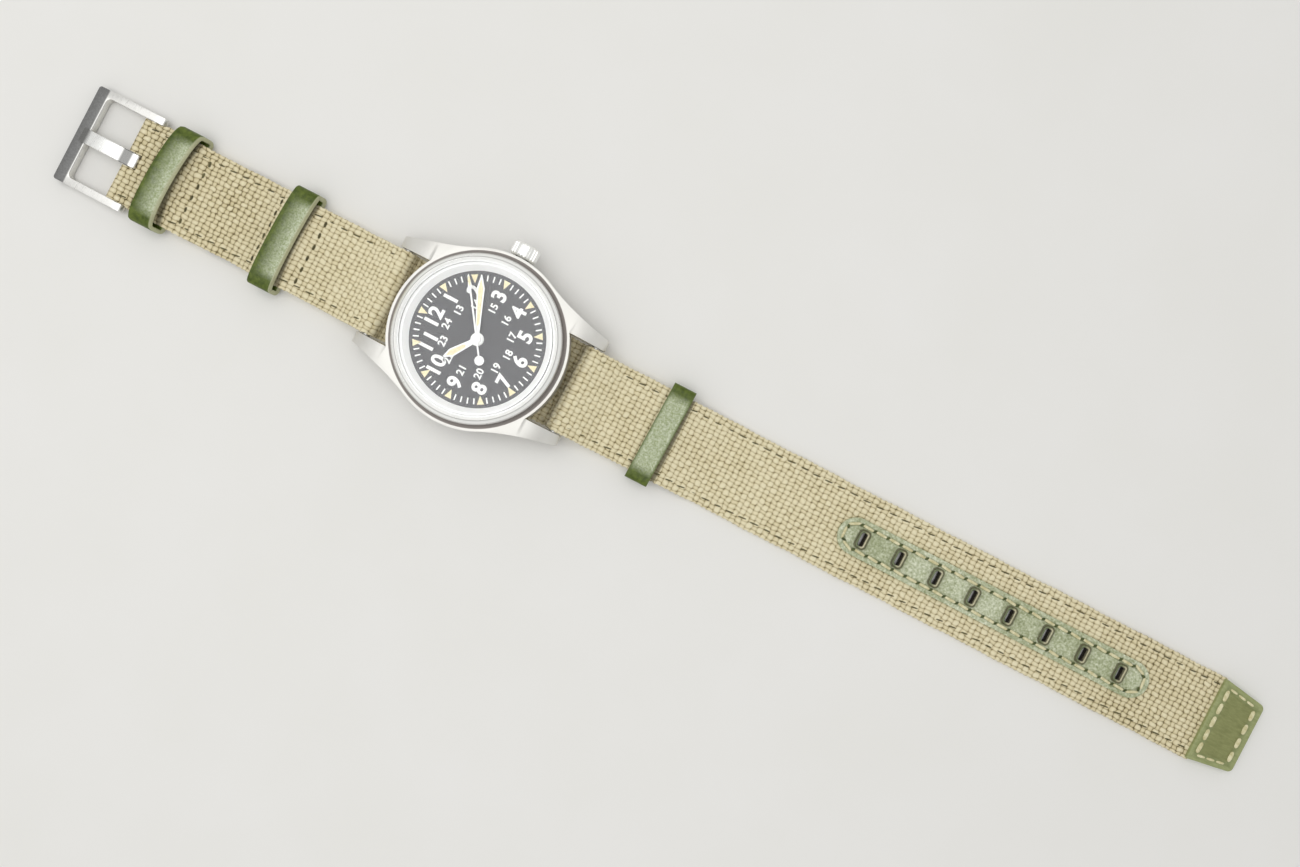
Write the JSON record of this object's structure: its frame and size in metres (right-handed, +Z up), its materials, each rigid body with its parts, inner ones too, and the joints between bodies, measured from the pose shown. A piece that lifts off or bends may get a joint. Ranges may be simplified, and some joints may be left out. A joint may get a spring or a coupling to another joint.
{
  "type": "wristwatch",
  "caption": "Hand-wound steel field watch on a one-piece canvas strap with leather keepers, a holed leather patch, a leather tip and a tongue buckle, laid flat.",
  "frame": {"origin": "on the axis of the hands, at the surface that the strap lies on", "axes": "+X along the strap towards the tail (6 o'clock), +Y towards the crown (3 o'clock), +Z up out of the dial"},
  "size_m": [0.2808, 0.0412, 0.0116],
  "materials": {
    "blasted_steel": "bead-blasted stainless steel",
    "polished_steel": "polished stainless steel",
    "bright_ring": "bright satin ring",
    "crystal": "clear, chamfered edge",
    "dial_black": "matte black",
    "white_hands": "matte white",
    "gilt_brass": "gilt",
    "plated_movement": "nickel-plated",
    "spring_steel": "ground steel",
    "gasket_rubber": "matte",
    "canvas": "coarse woven canvas",
    "olive_leather": "smooth olive leather",
    "sheen_leather": "olive leather with a pale sheen"
  },
  "bodies": {
    "case": {"case_middle": "blasted_steel", "bezel": "polished_steel", "rehaut_ring": "bright_ring", "crystal": "crystal", "crystal_gasket": "gasket_rubber", "case_back": "blasted_steel", "case_back_gasket": "gasket_rubber", "crown_tube": "blasted_steel", "movement_ring": "blasted_steel", "dial": "dial_black", "strap_bars": "blasted_steel", "main_plate": "plated_movement", "barrel_bridge": "plated_movement", "train_bridge": "plated_movement", "pallet_bridge": "plated_movement", "balance_cock": "plated_movement", "bridge_screws": "spring_steel", "strap_under_case": "canvas", "under_strap_center": "canvas", "strap_bend_buckle_side": "canvas", "strap_bend_tail_side": "canvas"},
    "winding_pinion": {"winding_pinion": "spring_steel"},
    "crown": {"crown": "blasted_steel", "winding_stem": "spring_steel", "crown_gasket": "gasket_rubber"},
    "sliding_pinion": {"sliding_pinion": "spring_steel"},
    "crown_wheel": {"crown_wheel": "spring_steel"},
    "ratchet": {"ratchet_wheel": "spring_steel", "barrel_arbor": "spring_steel"},
    "click": {"click": "spring_steel"},
    "setting_lever": {"setting_lever": "spring_steel"},
    "yoke": {"yoke": "spring_steel"},
    "seconds": {"fourth_wheel": "gilt_brass", "seconds_hand": "white_hands"},
    "third_wheel": {"third_wheel": "gilt_brass"},
    "center_wheel": {"center_wheel": "gilt_brass"},
    "barrel": {"barrel_drum": "gilt_brass", "barrel_cover": "gilt_brass", "mainspring": "spring_steel"},
    "escape_wheel": {"escape_wheel": "spring_steel"},
    "pallet_fork": {"pallet_fork": "spring_steel"},
    "balance": {"balance_wheel": "gilt_brass", "hairspring": "spring_steel"},
    "minute": {"cannon_pinion": "spring_steel", "minute_hand": "white_hands"},
    "minute_wheel": {"minute_wheel": "gilt_brass"},
    "hour": {"hour_wheel": "gilt_brass", "hour_hand": "white_hands"},
    "buckle_side_strap": {"strap_buckle_side": "canvas", "under_strap_buckle_end": "canvas", "keeper_by_buckle": "olive_leather", "keeper_middle": "olive_leather"},
    "buckle": {"buckle_frame": "blasted_steel", "buckle_bar": "blasted_steel"},
    "tongue": {"buckle_tongue": "blasted_steel"},
    "tail_strap": {"strap_tail": "canvas", "under_strap_keeper_end": "canvas", "keeper_under_strap": "olive_leather", "hole_patch": "sheen_leather", "tip_cap": "olive_leather"}
  },
  "joints": [
    {"name": "crown_turn", "type": "hinge", "parent": "case", "child": "winding_pinion", "pos_m": [0, 0.01035, 0.0061], "axis": [0, 1, 0], "continuous": true},
    {"name": "crown_pull", "type": "slide", "parent": "winding_pinion", "child": "crown", "axis": [0, 1, 0], "range_m": [0, 0.0007]},
    {"name": "clutch_slide", "type": "slide", "parent": "winding_pinion", "child": "sliding_pinion", "axis": [0, -1, 0], "range_m": [0, 0.0005]},
    {"name": "crown_wheel_turn", "type": "hinge", "parent": "case", "child": "crown_wheel", "pos_m": [0, 0.0079, 0.0042], "axis": [0, 0, 1], "continuous": true},
    {"name": "ratchet_turn", "type": "hinge", "parent": "case", "child": "ratchet", "pos_m": [-0.0056, 0.0035, 0.0042], "axis": [0, 0, 1], "continuous": true},
    {"name": "click_lift", "type": "hinge", "parent": "case", "child": "click", "pos_m": [-0.00775, -0.00242, 0.004], "axis": [0, 0, 1], "range_deg": [0, 14], "stiffness_Nm_per_rad": 0.000002},
    {"name": "setting_lever_swing", "type": "hinge", "parent": "case", "child": "setting_lever", "pos_m": [0.0032, 0.0115, 0.0075], "axis": [0, 0, -1], "range_deg": [0, 13]},
    {"name": "yoke_swing", "type": "hinge", "parent": "case", "child": "yoke", "pos_m": [0.0036, 0.0086, 0.0075], "axis": [0, 0, 1], "range_deg": [0, 8.2]},
    {"name": "seconds_hand_turn", "type": "hinge", "parent": "case", "child": "seconds", "pos_m": [0, 0, 0.0094], "axis": [0, 0, -1], "continuous": true},
    {"name": "third_wheel_turn", "type": "hinge", "parent": "case", "child": "third_wheel", "pos_m": [0.0044, 0.00094, 0.0054], "axis": [0, 0, -1], "continuous": true},
    {"name": "center_wheel_turn", "type": "hinge", "parent": "case", "child": "center_wheel", "pos_m": [0, 0, 0.0057], "axis": [0, 0, -1], "continuous": true},
    {"name": "barrel_turn", "type": "hinge", "parent": "case", "child": "barrel", "pos_m": [-0.0056, 0.0035, 0.0065], "axis": [0, 0, -1], "continuous": true, "deforming": ["mainspring"]},
    {"name": "escape_wheel_turn", "type": "hinge", "parent": "case", "child": "escape_wheel", "pos_m": [-0.00154, -0.00423, 0.0062], "axis": [0, 0, -1], "continuous": true},
    {"name": "pallet_swing", "type": "hinge", "parent": "case", "child": "pallet_fork", "pos_m": [0.0003, -0.00584, 0.0062], "axis": [0, 0, 1], "range_deg": [-4, 4]},
    {"name": "balance_swing", "type": "hinge", "parent": "case", "child": "balance", "pos_m": [0.00253, -0.0078, 0.0055], "axis": [0, 0, 1], "range_deg": [-270, 270], "deforming": ["hairspring"]},
    {"name": "minute_hand_turn", "type": "hinge", "parent": "case", "child": "minute", "pos_m": [0, 0, 0.009], "axis": [0, 0, -1], "continuous": true},
    {"name": "minute_wheel_turn", "type": "hinge", "parent": "case", "child": "minute_wheel", "pos_m": [0.0012, 0.00208, 0.0074], "axis": [0, 0, -1], "continuous": true},
    {"name": "hour_hand_turn", "type": "hinge", "parent": "case", "child": "hour", "pos_m": [0, 0, 0.0085], "axis": [0, 0, -1], "continuous": true},
    {"name": "buckle_side_fold", "type": "hinge", "parent": "case", "child": "buckle_side_strap", "pos_m": [-0.0222, 0, 0.0042], "axis": [0, -1, 0], "range_deg": [0, 75], "deforming": ["strap_bend_buckle_side"]},
    {"name": "tail_fold", "type": "hinge", "parent": "case", "child": "tail_strap", "pos_m": [0.0222, 0, 0.0042], "axis": [0, 1, 0], "range_deg": [0, 75], "deforming": ["strap_bend_tail_side"]},
    {"name": "buckle_swing", "type": "hinge", "parent": "buckle_side_strap", "child": "buckle", "pos_m": [-0.0833, 0, 0.00195], "axis": [0, 1, 0], "range_deg": [-40, 15]},
    {"name": "tongue_swing", "type": "hinge", "parent": "buckle", "child": "tongue", "pos_m": [-0.0833, 0, 0.00195], "axis": [0, 1, 0], "range_deg": [0, 75]}
  ],
  "couplings": [
    {"joint": "clutch_slide", "follows": "crown_pull", "ratio": 0.7142},
    {"joint": "setting_lever_swing", "follows": "crown_pull", "rad_per_m": 312.5},
    {"joint": "yoke_swing", "follows": "crown_pull", "rad_per_m": 198.4},
    {"joint": "crown_wheel_turn", "follows": "crown_turn", "ratio": 0.5},
    {"joint": "ratchet_turn", "follows": "crown_turn", "ratio": -0.27778},
    {"joint": "third_wheel_turn", "follows": "seconds_hand_turn", "ratio": -0.13333},
    {"joint": "center_wheel_turn", "follows": "seconds_hand_turn", "ratio": 0.016667},
    {"joint": "barrel_turn", "follows": "seconds_hand_turn", "ratio": -0.002381},
    {"joint": "escape_wheel_turn", "follows": "seconds_hand_turn", "ratio": -10},
    {"joint": "minute_wheel_turn", "follows": "minute_hand_turn", "ratio": -0.33333},
    {"joint": "hour_hand_turn", "follows": "minute_hand_turn", "ratio": 0.083333}
  ]
}
